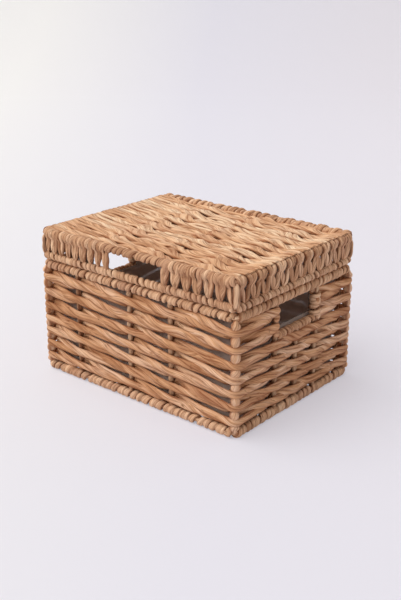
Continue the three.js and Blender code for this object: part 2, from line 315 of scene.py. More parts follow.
def build(node, ending, strands, material, lowest=None):
    """Shows a node by strands, with a map along them for the fibres and a flat one for baking."""
    loops, sizes, fibre, flat, boxes = [], [], [], [], []
    base = 0
    for strand in strands:
        s, girth, shear = strand["s"], strand["girth"], strand["shear"]
        rings, sides = strand["grid"].shape[:2]
        count = rings if strand["closed"] else rings - 1
        i, j = np.arange(count)[:, None], np.arange(sides)[None, :]
        k, m = (i + 1) % rings, (j + 1) % sides
        quads = np.stack([i * sides + j, i * sides + m, k * sides + m, k * sides + j], axis=-1) + base
        loops.append(quads.reshape(-1))
        sizes.append(np.full(count * sides, 4))
        ends = np.append(s, s[0] + strand["total"]) if strand["closed"] else s
        start, stop = ends[:-1], ends[1:]
        along = np.stack([start, start, stop, stop], axis=1)[:, None]
        around = (j[..., None] + (0, 1, 1, 0)) * girth / sides
        laid = np.stack(np.broadcast_arrays(along, around), axis=-1)
        turned = laid.copy()
        shear = np.append(shear, shear[-1])
        turned[..., :2, 1] += shear[:count, None, None]
        turned[..., 2:, 1] += shear[1 : count + 1, None, None]
        fibre.append(turned.reshape(-1, 2))
        lengths = max(1, round(strand["total"] / BAKE_LENGTH))
        part = (np.arange(count) * lengths) // count
        for n in range(lengths):
            rows = part == n
            laid[rows, ..., 0] -= start[rows][0]
            boxes.append((stop[rows][-1] - start[rows][0], girth))
        flat.append((laid.reshape(-1, 2), np.repeat(part, sides * 4) + len(boxes) - lengths))
        if not strand["closed"]:
            ring = np.arange(sides)
            loops += [base + ring[::-1], base + (rings - 1) * sides + ring]
            sizes.append(np.array([sides, sides]))
            disc = 1 + np.stack([np.cos(ring * TURN / sides), np.sin(ring * TURN / sides)], axis=1)
            for at in (s[0], s[-1]):
                fibre.append(np.stack([np.full(sides, at), ring * girth / sides], axis=1))
                boxes.append((2, 2))
                flat.append((disc, np.full(sides, len(boxes) - 1)))
        base += rings * sides
    verts = np.concatenate([strand["grid"].reshape(-1, 3) for strand in strands])
    if lowest is not None:
        verts[:, 2] = np.maximum(verts[:, 2], lowest)
    loops, sizes = np.concatenate(loops), np.concatenate(sizes)
    corners, side = pack_boxes(boxes, BAKE_GAP)
    baked = np.concatenate([laid + corners[box] + BAKE_GAP / 2 for laid, box in flat]) / side

    name = f"{node}_{ending}"
    mesh = bpy.data.meshes.new(name)
    mesh.vertices.add(len(verts))
    mesh.vertices.foreach_set("co", (verts / PER_METRE).reshape(-1))
    mesh.loops.add(len(loops))
    mesh.loops.foreach_set("vertex_index", loops.astype(np.int32))
    mesh.polygons.add(len(sizes))
    mesh.polygons.foreach_set("loop_start", (np.cumsum(sizes) - sizes).astype(np.int32))
    mesh.update(calc_edges=True)
    mesh.shade_smooth()
    mesh.uv_layers.new(name="fibre").data.foreach_set("uv", (np.concatenate(fibre) / PER_METRE).reshape(-1))
    mesh.uv_layers.new(name="OFBake").data.foreach_set("uv", baked.reshape(-1))
    # Each point's tone and its painted shade, for the material
    for key in ("tint", "crease"):
        values = [np.broadcast_to(strand[key], strand["crease"].shape).reshape(-1) for strand in strands]
        mesh.attributes.new(key, "FLOAT", "POINT").data.foreach_set("value", np.concatenate(values))
    mesh.materials.append(material)
    show(name, mesh, node)


# Materials

class Shading:
    """The nodes of a material or a world, with short ways to add and join them."""

    def __init__(self, owner):
        owner.use_nodes = True
        self.nodes = owner.node_tree.nodes
        self.links = owner.node_tree.links

    def fill(self, node, inputs):
        """Gives each input a constant, or another node's output."""
        for key, value in inputs.items():
            if isinstance(value, bpy.types.NodeSocket):
                self.links.new(value, node.inputs[key])
            else:
                node.inputs[key].default_value = value

    def add(self, kind, inputs=None, **settings):
        node = self.nodes.new(f"ShaderNode{kind}")
        for name, value in settings.items():
            setattr(node, name, value)
        self.fill(node, inputs or {})
        return node

    def math(self, operation, *values):
        return self.add("Math", dict(enumerate(values)), operation=operation).outputs[0]

    def noise(self, where, scale, detail=2, rough=0.5):
        inputs = {"Vector": where, "Scale": scale, "Detail": detail, "Roughness": rough}
        return self.add("TexNoise", inputs).outputs["Fac"]

    def mix(self, share, first, second):
        """One colour turning into another."""
        inputs = {"Factor": share, "A": first, "B": second}
        return self.add("Mix", inputs, data_type="RGBA").outputs["Result"]

    def ramp(self, value, *stops):
        """Colours, or greys given as one number, at places along a value."""
        ramp = self.add("ValToRGB", {"Fac": value})
        elements = ramp.color_ramp.elements
        while len(elements) < len(stops):
            elements.new(0.5)
        for element, (place, colour) in zip(elements, stops):
            element.position = place
            element.color = (*(colour if isinstance(colour, tuple) else (colour,) * 3), 1)
        return ramp.outputs["Color"]


def toned(colour, *shares):
    return (*(value * share for value, share in zip(colour, shares)), 1)


def strand_material(name, dark, middle, pale, warm=0.5, bump=0.5):
    """Dried plant strand: long fibres, blotches along its length, a tone for each strand, and painted shade
    from the mesh.
    """
    material = bpy.data.materials.new(name)
    tree = Shading(material)
    tint = tree.add("Attribute", attribute_name="tint").outputs["Fac"]
    crease = tree.add("Attribute", attribute_name="crease").outputs["Fac"]
    along = tree.add("UVMap", uv_map="fibre").outputs["UV"]
    along = tree.add("SeparateXYZ", {0: along}).outputs
    where = tree.add("CombineXYZ", {"X": along["X"], "Y": along["Y"], "Z": tint}).outputs[0]

    def noise(stretch, detail, rough=0.55):
        stretched = tree.add("VectorMath", {0: where, 1: stretch}, operation="MULTIPLY").outputs[0]
        return tree.noise(stretched, 1, detail, rough)

    fibres = noise((24, 650, 91), 4, 0.65)
    blotches = noise((16, 85, 37), 3)
    lengths = noise((7, 8, 53), 1)
    flecks = noise((75, 260, 17), 2)
    mixed = tree.math("MULTIPLY", fibres, 0.55)
    for part, share in ((blotches, 0.5), (lengths, 0.3), (tint, 0.24)):
        mixed = tree.math("ADD", mixed, tree.math("MULTIPLY", part, share))
    tone = tree.ramp(mixed, (0.5, dark), (0.76, middle), (1, pale))
    # Some lengths are greyer or redder than the rest
    greyer = tree.ramp(noise((5, 6, 71), 2), (0.5, 0), (0.72, warm))
    tone = tree.mix(greyer, tone, toned(middle, 0.82, 0.78, 0.86))
    # Small dark scars
    scars = tree.ramp(flecks, (0.66, 0), (0.76, 0.75))
    tone = tree.mix(scars, tone, toned(dark, 0.6, 0.55, 0.5))
    # Painted shade where the folds meet, along the edges and under a keen strand's lower edge, and fine dark
    # lines between fibres
    lines = tree.math("ABSOLUTE", tree.math("SUBTRACT", noise((9, 210, 43), 2), 0.5))
    thin = tree.ramp(lines, (0, 0.6), (0.035, 0))
    shade_and_fibre_lines = tree.math("MINIMUM", tree.math("MAXIMUM", crease, thin), 0.85)
    tone = tree.mix(shade_and_fibre_lines, tone, toned(dark, 0.72, 0.46, 0.3))
    height = tree.math("SUBTRACT", fibres, tree.math("MULTIPLY", thin, 0.9))
    relief = tree.add("Bump", {"Strength": bump, "Distance": 0.0006, "Height": height})
    tree.fill(tree.nodes["Principled BSDF"], {
        "Base Color": tone,
        "Specular IOR Level": 0.12,
        "Roughness": tree.ramp(fibres, (0.3, 0.52), (0.75, 0.8)),
        "Normal": relief.outputs["Normal"],
    })
    return material


# Each kind of strand has a dark, a middle and a pale tone
STRAND = strand_material("dried_strand", (0.3, 0.104, 0.033), (0.715, 0.386, 0.2), (0.98, 0.675, 0.465))
# A paler copy of the strand for the lid's top: painted light, for the top that faces the lamp
PAINTED_LIGHT_TOP_STRAND = strand_material(
    "dried_strand_painted_light_top", (0.4, 0.176, 0.078), (0.835, 0.502, 0.29), (1, 0.775, 0.54)
)
WRAP = strand_material("dried_wrap", (0.26, 0.102, 0.041), (0.69, 0.402, 0.234), (1, 0.69, 0.46), 0.7)
LACE = strand_material("dried_lace", (0.27, 0.11, 0.047), (0.7, 0.402, 0.232), (0.98, 0.67, 0.44), 0.7)
CANE = strand_material(
    "dried_cane", (0.24, 0.105, 0.052), (0.5, 0.29, 0.17), (0.7, 0.47, 0.3), warm=0.3, bump=0.3
)


# Body rows

# A body strand's thickness, and its width at a corner, inside a stake and round a hand hole's post
ROW_THICK = 5.4
CORNER_WIDTH = 11.8
INSIDE_WIDTH = 10
HOOK_WIDTH = 10.6
# A strand from inside a support shows after this share of its way, and has its full rise after this run
QUICK = 0.2
INSIDE_RUN = 10
# How a strand sinks on its way out: a steady part, and one that is steep at first
STEADY, STEEP = 0.55, 0.65
# At a hand hole the two strands of a row end this far above and below its middle
HOOK_LIFT = 5.4
PASS_STEPS = 30
ROW_STEP = 3
# Shares of its sinking that a strand may use next to a rim, a bar or an unlike row, and elsewhere
TIGHT, FREE = 0.5, 1.3


class Stop:
    """A support that rows go round: a stake, or the post of the corner where a side starts."""

    def __init__(self, index, along=None):
        self.index = index % 4
        self.side = WALLS[self.index]
        self.along = along
        self.is_corner = along is None

    def depth(self, sign):
        """How far a strand passes outside the support or, with sign -1, inside it."""
        if self.is_corner:
            return CORNER_DEPTH if sign > 0 else CORNER_INSIDE[self.index]
        return STAKE_DEPTH

    def width(self, weave):
        """The width of a strand that goes over the support."""
        return CORNER_WIDTH if self.is_corner else weave.spread[self.index % 2]

    def places(self, sign, weave):
        """Rows of a place, the way out and a width, for a strand at the support."""
        side = self.side
        if not self.is_corner:
            wide = self.width(weave) if sign > 0 else INSIDE_WIDTH
            return [[*side.point(self.along, sign * STAKE_DEPTH), *side.out, wide]]
        before = WALLS[self.index - 1]
        if sign < 0:
            deep = self.depth(sign)
            spot = side.point(-side.reach + deep, -deep)
            return [[*spot, *unit(side.out + before.out), CORNER_WIDTH]]
        rows = []
        for step in np.linspace(0, QUARTER, 6):
            out = before.out * cos(step) + side.out * sin(step)
            rows.append([*(side.point(-side.reach) + CORNER_DEPTH * out), *out, CORNER_WIDTH])
        return rows


class Weave:
    """Like rows: their strands' width, their widths over long and short sides' stakes, and their sinking."""

    def __init__(self, width, spread, pitch):
        self.width = width
        self.spread = spread
        self.drop = pitch - width


def pass_between(stop, after, sign, warp, sink, weave, room, hole):
    """A strand's way from one support to the next, from outside to inside or, with sign -1, the other way.
    hole is -1 where the first support is a hand hole's post, and 1 where the second is."""
    side = stop.side
    here, there = stop.depth(sign), after.depth(-sign)
    start, end = stop.along, after.along
    if stop.is_corner:
        start = -side.reach + (here if sign < 0 else 0)
    if after.is_corner:
        end = side.reach - (there if sign > 0 else 0)
    t = np.arange(1, PASS_STEPS) / PASS_STEPS
    bent = t + warp * t * (1 - t)
    # From the support that the strand is inside of to the one that it is outside of
    way = bent if sign < 0 else 1 - bent
    inner, outer = (here, there) if sign < 0 else (there, here)
    depth = np.where(way < QUICK, -inner * (1 - way / QUICK), outer * (way - QUICK) / (1 - QUICK))
    at_inner, at_outer = sink, 0
    rise = np.clip(way * abs(end - start) / INSIDE_RUN, 0, 1)
    if hole == sign:
        at_inner, rise = HOOK_LIFT, 1
    elif hole:
        at_outer = HOOK_LIFT
    slope = STEADY * (1 - way) + STEEP * (1 - way) ** 3
    lift = np.clip(-sign * (at_inner * slope + at_outer * way) * rise, -room[0], room[1])
    widest = (after if sign < 0 else stop).width(weave)
    wide = np.interp(way, (0, 0.3, 0.7, 1), (INSIDE_WIDTH, weave.width, weave.width + 0.8, widest))
    spots = side.point(start + (end - start) * t, depth, lift)
    return np.column_stack([spots, np.tile(side.out, (len(t), 1)), wide]).tolist()


def hook_ends(columns, stops, first):
    """Ends of a half row: a short one that the winding of a hand hole's post covers, and a hook round a post.
    A half row has an odd number of supports, so a strand is on the same side of both posts."""
    start, end = stops[0], stops[-1]
    side, edge = start.side, columns[0]
    short = side.point(start.along, 0, edge[2]) + side.out * first * STAKE_DEPTH - side.along * 3
    rows = [[*short, *side.out, edge[6]], *columns]
    side = end.side
    middle = side.point(end.along, 0, columns[-1, 2])
    for step in np.linspace(0.1, 1, 9):
        angle = pi * step * (0.95 if first > 0 else 1.3)
        out = side.out * first * cos(angle) + side.along * sin(angle)
        rows.append([*(middle + (STAKE_DEPTH - 0.4) * out), *out, HOOK_WIDTH])
    return np.array(rows)


def row_pair(stops, weave, room, height, rng, closed):
    """The two strands of one twined row. Each comes out beside a support at the row's top, sinks as it goes
    over the next one, and goes in beside the third at the row's bottom."""
    count = len(stops)
    warp = rng.uniform(-0.3, 0.3, count)
    swell = rng.uniform(0.9, 1.08, count)
    # Both strands drift up and down together
    drift_seed = seeded(rng.integers(1 << 30)).integers(1 << 30)
    holes = {} if closed else {0: -1, count - 2: 1}
    made = []
    for first in (1, -1):
        rows = []
        for index, stop in enumerate(stops):
            sign = first * (-1) ** index
            if closed or 0 < index < count - 1:
                rows += stop.places(sign, weave)
            if closed or index < count - 1:
                after, sink = stops[(index + 1) % count], weave.drop * swell[index]
                rows += pass_between(stop, after, sign, warp[index], sink, weave, room, holes.get(index, 0))
        columns = np.array(rows)
        if not closed:
            columns = hook_ends(columns, stops, first)
        columns = soften(even(columns, ROW_STEP, closed), closed)
        path = columns[:, :3]
        drift = 0.8 * wander(seeded(drift_seed), *run_length(path, closed), (210, 330), closed)
        wide = columns[:, 6] * varied(rng, path, 0.09, (60, 140), closed)
        thick = ROW_THICK * varied(rng, path, 0.1, (50, 120), closed)
        made.append(make_strand(
            path + UP * (height + drift)[:, None], columns[:, 3:6], wide, thick, rng, closed, sides=28,
            folds=0.6, roll=0.12, flat=0.95, twist=1 / 240, keen=1.5,
        ))
    return made


def side_stops(index):
    return [Stop(index)] + [Stop(index, along) for along in WALLS[index % 4].stakes]


def half_stops(index):
    """From one hand hole round a long side to the other."""
    return [side_stops(index + 3)[-1], *side_stops(index), *side_stops(index + 1)[:2]]


ALL_STOPS = [stop for index in range(4) for stop in side_stops(index)]
LOWER_ROWS, ROWS = 5, 7
LOWER_PITCH = (centre("row_4") - centre("row_2"))[2] / 2
BAR_BOTTOM = low_high("handle_bar_right")[0][2]
UPPER_PITCH = (low_high("body_rim")[0][2] - BAR_BOTTOM) / (ROWS - LOWER_ROWS)
ROW_HEIGHTS = [centre("row_2")[2] + LOWER_PITCH * (number - 1) for number in range(LOWER_ROWS)]
ROW_HEIGHTS += [BAR_BOTTOM + UPPER_PITCH * (number + 0.5) for number in range(ROWS - LOWER_ROWS)]
LOWER_WEAVE = Weave(12.2, (13.2, 14.2), LOWER_PITCH)
UPPER_WEAVE = Weave(14, (14.6, 15), UPPER_PITCH)


def make_row(node, number, stops, weave, seed, closed=True):
    below = TIGHT if number in (0, LOWER_ROWS) else FREE
    above = TIGHT if number in (LOWER_ROWS - 1, ROWS - 1) else FREE
    room = (weave.drop * below, weave.drop * above)
    pair = row_pair(stops, weave, room, ROW_HEIGHTS[number], seeded(seed), closed)
    build(node, "strands", pair, STRAND)


for number in range(LOWER_ROWS):
    make_row(f"row_{number + 1}", number, ALL_STOPS, LOWER_WEAVE, 101 + number)
for number in range(LOWER_ROWS, ROWS):
    for index in LONG_SIDES:
        node = f"row_{number + 1}_{WALLS[index].name}"
        seed = 210 + 10 * number + index
        make_row(node, number, half_stops(index), UPPER_WEAVE, seed, closed=False)


# Posts, stakes, rims and bars of the body

def knobbed(place, bottom, top, thin, fat, heights, grip, rng, sides=18):
    """An upright that swells to a knob between each two rows that grip it."""
    z = np.arange(bottom, top, 1)
    radius = np.full_like(z, thin)
    ends = [bottom - 4, *heights, top + 4]
    for low, high in zip(ends[:-1], ends[1:]):
        half = (high - low) / 2 - grip
        round_part = np.clip(1 - ((z - (low + high) / 2) / max(half, 3)) ** 2, 0, 1)
        radius += (fat * rng.uniform(0.94, 1.04) - thin) * np.sqrt(round_part)
    size = 2 * radius
    lean = 0.5 * np.stack([wander(rng, z - bottom, top - bottom, (25, 60)) for _ in range(2)], axis=1)
    path = straight(place, 2, z)
    path[:, :2] += lean
    out = unit(place * (1, 1, 0))
    return make_strand(path, out, size, size, rng, sides=sides, folds=0.35, roll=0.3, flat=1)


def wind(
    path, out, radius, pitch, thick, rng, closed=False, cover=1, samples=14, sides=14, hand=1, starts=1
):
    """Strand wound round a path, by one hand or the other. It covers a share of its pitch."""
    s, total = run_length(path, closed)
    out = np.broadcast_to(out, path.shape)
    if closed:
        s = np.append(s, total)
        path, out = np.vstack([path, path[:1]]), np.vstack([out, out[:1]])
    turns = total / (pitch * starts)
    if closed:
        turns = round(turns)
    angle = np.linspace(0, TURN * turns, int(turns * samples) + 1)
    if closed:
        angle = angle[:-1]
    flow = angle / (TURN * turns) * total

    def roam(*waves):
        return wander(rng, flow, total, waves, closed)

    made = []
    for start in range(starts):
        where = np.clip(flow + 0.36 * pitch * roam(31, 57, 110), 0, total)
        middle = read(where, s, path)
        away = unit(read(where, s, out))
        side = np.cross(unit(np.gradient(middle, axis=0)), away) * hand
        spin = (angle + TURN * start / starts)[:, None]
        radial = away * np.cos(spin) + side * np.sin(spin)
        size = radius * (1 + 0.08 * roam(23, 61, 140))
        wide = pitch * cover * (1 + 0.18 * roam(29, 73))
        turn = middle + radial * size[:, None]
        made.append(make_strand(turn, radial, wide, thick, rng, closed, sides, 0.7, roll=0.12, flat=1))
    return made


def ring(side_list, height, bend):
    """The middle line of a rim, with rounded corners, and the way out from it."""
    x, y = side_list[0].reach - bend, side_list[0].offset - bend
    path, out = [], []
    for index, (sx, sy) in enumerate(((1, -1), (1, 1), (-1, 1), (-1, -1))):
        for turn in np.linspace(index - 1, index, 9) * pi / 2:
            away = np.array([cos(turn), sin(turn), 0])
            path.append(np.array([sx * x, sy * y, height]) + bend * away)
            out.append(away)
    columns = even(np.hstack([path, out]), 2, True)
    return columns[:, :3], unit(columns[:, 3:])


def tube(path, out, radius, rng, closed, sides=10):
    return make_strand(path, out, 2 * radius, 2 * radius, rng, closed, sides, folds=0.3, roll=0)


# The knobs of a corner's post stand out from its middle
KNOB_OUT = 2.6
POST_LOW, POST_HIGH = low_high("corner_post_front_left")
for index, corner in enumerate(CORNERS):
    node = f"corner_post_{corner}"
    rng = seeded(300 + index)
    place = centre(node)
    place = place + KNOB_OUT * unit(np.sign(place) * (1, 1, 0))
    post = knobbed(place, POST_LOW[2] - 3, POST_HIGH[2] + 2, 4, 7, ROW_HEIGHTS, 4.8, rng, sides=24)
    post["tint"] = 0.8
    build(node, "knobs", [post], STRAND)

for index, side in enumerate(WALLS):
    for number in STAKES:
        node = f"{side.name}_stake_{number}"
        low, high = low_high(node)
        spot = centre(node)
        rng = seeded(320 + 10 * index + number)
        is_short = index not in LONG_SIDES
        heights = ROW_HEIGHTS[:LOWER_ROWS] if is_short and number == 2 else ROW_HEIGHTS
        cane = knobbed(spot, low[2] - 2, high[2] + 2, 2.6, 4.4, heights, 3.6, rng)
        if is_short and number == 3:
            # The hand hole's far post is wound from the bar up to the rim
            path = straight(spot, 2, np.arange(BAR_BOTTOM + 0.2, high[2] + 1, 1))
            turns = wind(path, side.out, 5.4, 10.2, 5.8, rng)
            build(node, "winding", turns, WRAP)
        build(node, "cane", [cane], CANE)

for node, pitch, push, seed, lowest in (("base_rim", 10.4, 2.2, 400, 0.2), ("body_rim", 9.6, 0, 401, None)):
    rng = seeded(seed)
    path, out = ring(WALLS, centre(node)[2], 5)
    path = path + push * out
    strands = [tube(path, out, 3.4, rng, True)]
    strands += wind(path, out, 4.3, pitch, 6.2, rng, True, sides=16, hand=-1)
    build(node, "winding", strands, WRAP, lowest)

# A bar's winding is a little lower and further out than the bar, and longer
BAR_SHIFT = 1.6
BAR_REACH = 47
for index in (1, 3):
    side = WALLS[index]
    node = f"handle_bar_{side.name}"
    rng = seeded(410 + index)
    along = centre(node) @ side.along
    places = np.arange(along - BAR_REACH, along + BAR_REACH + 0.01, 1.5)
    path = side.point(places, BAR_SHIFT, centre(node)[2] - BAR_SHIFT)
    strands = [tube(path, side.out, 2.8, rng, False), *wind(path, side.out, 3.8, 8.4, 5, rng)]
    build(node, "winding", strands, WRAP)


# Base

BASE_LOW, BASE_HIGH = low_high("base_weave")
BASE_Z = centre("base_weave")[2]
BASE_ROWS = 12
BASE_PITCH = (BASE_HIGH[1] - BASE_LOW[1]) / BASE_ROWS
# A base strand's width between the wires and over them, and its swing to the side between them
BASE_WIDTH, BASE_SPREAD, BASE_SWING = 11.2, 15.5, 4.8
BASE_REACH = BASE_HIGH[0] - 0.4
WIRES = [centre(f"base_wire_{n}")[0] for n in STAKES]


def base_pair(y, rng):
    """A straight twined row on the base's wires, from end to end."""
    made = []
    stops = [-BASE_REACH, *WIRES, BASE_REACH]
    warp = rng.uniform(-0.3, 0.3, len(stops))
    t = np.arange(0, 24) / 24
    for first in (1, -1):
        columns = []
        for index in range(len(stops) - 1):
            sign = first * (-1) ** index
            bent = t + warp[index] * t * (1 - t)
            wave = np.cos(pi * bent)
            x = stops[index] + (stops[index + 1] - stops[index]) * t
            across = y - sign * BASE_SWING * np.sin(pi * bent)
            wide = BASE_SPREAD * wave**2 + BASE_WIDTH * (1 - wave**2)
            columns.append(np.column_stack([x, across, BASE_Z + sign * STAKE_DEPTH * wave, wide]))
        columns = even(np.vstack(columns), 4)
        made.append(make_strand(columns[:, :3], UP, columns[:, 3], 5, rng, sides=12))
    return made


def cross_rods(kind, seed):
    """The three rods that a panel's rows are twined round."""
    for n in STAKES:
        node = f"{kind}_{n}"
        low, high = low_high(node)
        path = straight(centre(node), 1, np.arange(low[1], high[1], 3))
        rod = make_strand(path, UP, 5, 5, seeded(seed + n), sides=12, folds=0.4)
        build(node, "cane", [rod], CANE)


base_strands = []
for number in range(BASE_ROWS):
    base_strands += base_pair(BASE_LOW[1] + (number + 0.5) * BASE_PITCH, seeded(500 + number))
build("base_weave", "strands", base_strands, STRAND, lowest=0.5)
cross_rods("base_wire", 520)


# Lid

LOWER_Z = centre("lid_lower_rim")[2] + 0.8
UPPER_Z = centre("lid_upper_rim")[2] - 1.4
# The hand hole's ends along a long side, and how far the lacing stays from them and from the corners
HOLE = (-48, 56)
HOLE_GAP = 4.5
CORNER_GAP = 5.5
# How far out the lacing's middle lies where it goes over the upper rim
LACE_RADIUS = 4.6
# A long side's leg widens from its foot to its top, so the gaps are short triangles
LEG_WIDTHS = (0.72, 0.74, 0.82, 1.06, 1.25, 1.12, 1.08, 1.08)
# How far a leg stands in front of or behind the one that it crosses
LEG_FRONT = 0.9


def leg_points(side, foot, top, front_foot, front_top, wide, over=None):
    """A lacing leg between the lid's rims, which tucks in at its top or goes on over the upper rim."""
    low, high, r = LOWER_Z, UPPER_Z, LACE_RADIUS

    # Places along, out and up, the way out and up that the strand faces, its width and its thickness
    def tucked(a, other, front, z, up):
        return [
            (a, -2.6, z + 2 * up, 1, 0.3 * up, wide * 0.7, 3),
            (a, 0.9 + 0.5 * front, z + 5.6 * up, 1, 0.2 * up, wide * 0.78, 3.4),
            (0.85 * a + 0.15 * other, 2 + front, z + 9 * up, 1, 0, wide * 0.84, 3.8),
        ]

    rows = tucked(foot, top, front_foot, low, 1)
    rows.append((0.5 * foot + 0.5 * top, 2.2, (low + high) / 2, 1, 0, wide * 1.06, 4.4))
    upper = tucked(top, foot, front_top, high, -1)[::-1]
    if over is None:
        rows += upper
    else:
        rows += [
            upper[0],
            (0.4 * top + 0.6 * over, r + 0.4, high - 2.6, 1, -0.1, wide, 5),
            (over, r * 0.75, high + r * 0.72, 0.7, 0.75, wide, 4.8),
            (over, -0.8, high + r, -0.1, 1, wide, 4.8),
        ]
    columns = []
    for a, d, z, out, lift, width, thick in rows:
        columns.append([*side.point(a, d, z), *unit(side.out * out + UP * lift), width, thick])
    return np.array(columns)


def make_leg(points, rng, sides=14, step=2.5):
    columns = spline(points, step)
    path, out = columns[:, :3], unit(columns[:, 3:6])
    wide = columns[:, 6] * varied(rng, path, 0.08, (37, 80))
    return make_strand(path, out, wide, columns[:, 7], rng, sides=sides, roll=0.15)


def zigzag(side, start, end, pitch, rng):
    """Lacing legs from start to end along a side, leaning left and right by turns."""
    strands = []
    count = 2 * round((end - start) / pitch)
    gap = (end - start) / count
    for n in range(count):
        sign = (-1) ** n
        base = start + (n + 0.5) * gap + rng.uniform(-0.5, 0.5)
        lean = 0.45 * gap * sign * rng.uniform(0.9, 1.1)
        front = LEG_FRONT * sign
        wide = gap * rng.uniform(0.88, 1)
        points = leg_points(side, base - 1.05 * lean, base + 0.4 * lean, -front, front, wide, base)
        points[:, 6] *= LEG_WIDTHS
        inner = [*side.point(base, -4.6, UPPER_Z + 0.5), *unit(0.3 * UP - side.out), 0.8 * wide, 4]
        strands.append(make_leg(np.vstack([points, inner]), rng))
    return strands


for index in LONG_SIDES:
    side = LID_SIDES[index]
    rng = seeded(600 + index)
    strands = zigzag(side, -side.reach + CORNER_GAP, HOLE[0] - HOLE_GAP, 16.2, rng)
    strands += zigzag(side, HOLE[1] + HOLE_GAP, side.reach - CORNER_GAP, 18, rng)
    for at in (HOLE[0] - 2, HOLE[1] + 2):
        strands.append(make_leg(leg_points(side, at, at, 0.6, 0.6, 8), rng))
    build(f"lid_lacing_{side.name}", "legs", strands, LACE)


# Rows of the lid. Their strands go over the short sides' upper rim and on down as lacing.

LID_ROWS = 12
LID_STAKES = [centre(f"lid_stake_{n}")[0] for n in STAKES]
TOP_Z = centre("lid_stake_1")[2]
# How far a strand lies beside its row's middle between the stakes, and its width and thickness there
LID_HALF = 5.7
LID_WIDTH, LID_THICK = 11.8, 6.6
# The widths of its legs
LID_LEGS = {"left": 14.8, "right": 9.5}
# How far from a short side's middle the strand comes up to its rim, and its width there
RIM_RUN = 11
RIM_WIDTH = 10.8


def lid_strand(y, first, lean, rng):
    """One strand of a lid row with its legs down both short sides, and where the rims' tops cut it."""
    right, left = LID_SIDES[1], LID_SIDES[3]
    spots = []
    for index, x in enumerate(LID_STAKES):
        sign = first * (-1) ** index
        over = 22.6 - 4 * rng.random() ** 4
        flat = rng.uniform(0.56, 0.76)
        shift, stretch = rng.uniform(-5, 5), rng.uniform(1.12, 1.34)
        for away, share, deep, wide, thick in (
            (-27, 1, 0.08, LID_WIDTH, LID_THICK),
            (-12, 0.66, 0.6, 0.5 * over + 5, 5.8),
            (0, 0, 1, over, 5.2),
            (12, -0.66, 0.6, 0.5 * over + 5, 5.8),
            (27, -1, 0.08, LID_WIDTH, LID_THICK),
        ):
            place = (x + away * stretch + shift, y + sign * share * LID_HALF)
            spots.append([*place, TOP_Z + sign * deep * flat * STAKE_DEPTH, *UP, wide, thick])
    end_left = y + first * LID_HALF
    end_right = y - sign * LID_HALF
    spots.append([right.offset - RIM_RUN, end_right, TOP_Z + 5, *UP, RIM_WIDTH, 5.4])
    before = [
        [RIM_RUN - left.offset, end_left, TOP_Z + 5, *UP, RIM_WIDTH, 5.6],
        [45 - left.offset, end_left, TOP_Z + rng.uniform(1, 3), *UP, 11.6, 6.8],
    ]
    legs = []
    for side, end in ((left, end_left), (right, end_right)):
        a = end * side.along[1]
        tilt = lean if a > y * side.along[1] else -lean
        front = LEG_FRONT * np.sign(tilt)
        legs.append(leg_points(side, a - tilt, a + tilt, front, -front, LID_LEGS[side.name], a))
    curve = spline(np.vstack([legs[0], before, spots, legs[1][::-1]]), 2.8)
    path = curve[:, :3]
    # The ends' rounding adds steps before the first one
    cuts = [np.argmin(np.linalg.norm(path - leg[-1, :3], axis=1)) + len(END_ROUND) for leg in legs]
    length = run_length(path)
    wide = curve[:, 6] * varied(rng, path, 0.07, (45, 95))
    # It sways between the rims
    inner = np.clip((right.offset - 22.5 - np.abs(path[:, 0])) / 30, 0, 1)
    sway_y = 1.1 * wander(rng, *length, (60, 130)) * inner
    sway_z = 0.7 * wander(rng, *length, (50, 90)) * inner
    path = path + np.column_stack([0 * inner, sway_y, sway_z])
    return make_strand(path, unit(curve[:, 3:6]), wide, curve[:, 7], rng, roll=0.16), cuts


lace_ends = {"right": [], "left": []}
for number in range(1, LID_ROWS + 1):
    node = f"lid_row_{number}"
    rng = seeded(700 + number)
    lean = rng.uniform(4.4, 5)
    strands = []
    for first in (1, -1):
        strand, (start, end) = lid_strand(centre(node)[1], first, lean, rng)
        strands.append(cut(strand, start - 1, end + 2))
        lace_ends["left"].append(cut(strand, 0, start + 1))
        lace_ends["right"].append(cut(strand, end, len(strand["s"])))
    build(node, "strands", strands, PAINTED_LIGHT_TOP_STRAND)
for name, strands in lace_ends.items():
    build(f"lid_lacing_{name}", "legs", strands, LACE)


# Rims, posts and stakes of the lid

def span(path, out, keep):
    """The part of a rim's path where keep is true, in order from its first such place."""
    start = np.argmax(keep & ~np.roll(keep, 1))
    path, out, keep = np.roll(path, -start, 0), np.roll(out, -start, 0), np.roll(keep, -start)
    length = len(keep) if keep.all() else np.argmin(keep)
    return path[:length], out[:length]


def upper_windings(path, out, rng):
    """Windings of the upper rim. The rows cover its short sides; its long sides have slanting windings."""
    strands = wind(path, out, 2.7, 9, 1.9, rng, True, samples=10, sides=8)
    for index in LONG_SIDES:
        side = LID_SIDES[index]
        keep = (path @ side.out > 0.8 * side.offset) & (np.abs(path @ side.along) < side.reach - 3)
        part, away = span(path, out, keep)
        strands += wind(part, away, 4, 8.2, 5.2, rng, hand=-1, starts=2)
        if side.name == "back":
            strands += wind(part, away, 6.2, 16, 5.4, rng, cover=0.5, hand=-1)
    for side in LID_SIDES:
        keep = np.linalg.norm(path - side.point(-side.reach, 0, UPPER_Z), axis=1) < 13
        strands += wind(*span(path, out, keep), 4.3, 8, 4.9, rng)
    return strands


for node, height, seed in (("lid_lower_rim", LOWER_Z, 800), ("lid_upper_rim", UPPER_Z, 801)):
    rng = seeded(seed)
    path, out = ring(LID_SIDES, height, 6)
    strands = [tube(path, out, 2.2, rng, True, sides=8)]
    if node == "lid_lower_rim":
        strands += wind(path, out, 3.7, 8.8, 5, rng, True)
    else:
        strands += upper_windings(path, out, rng)
    build(node, "winding", strands, WRAP, lowest=low_high("lid_lower_rim")[0][2] + 0.1)

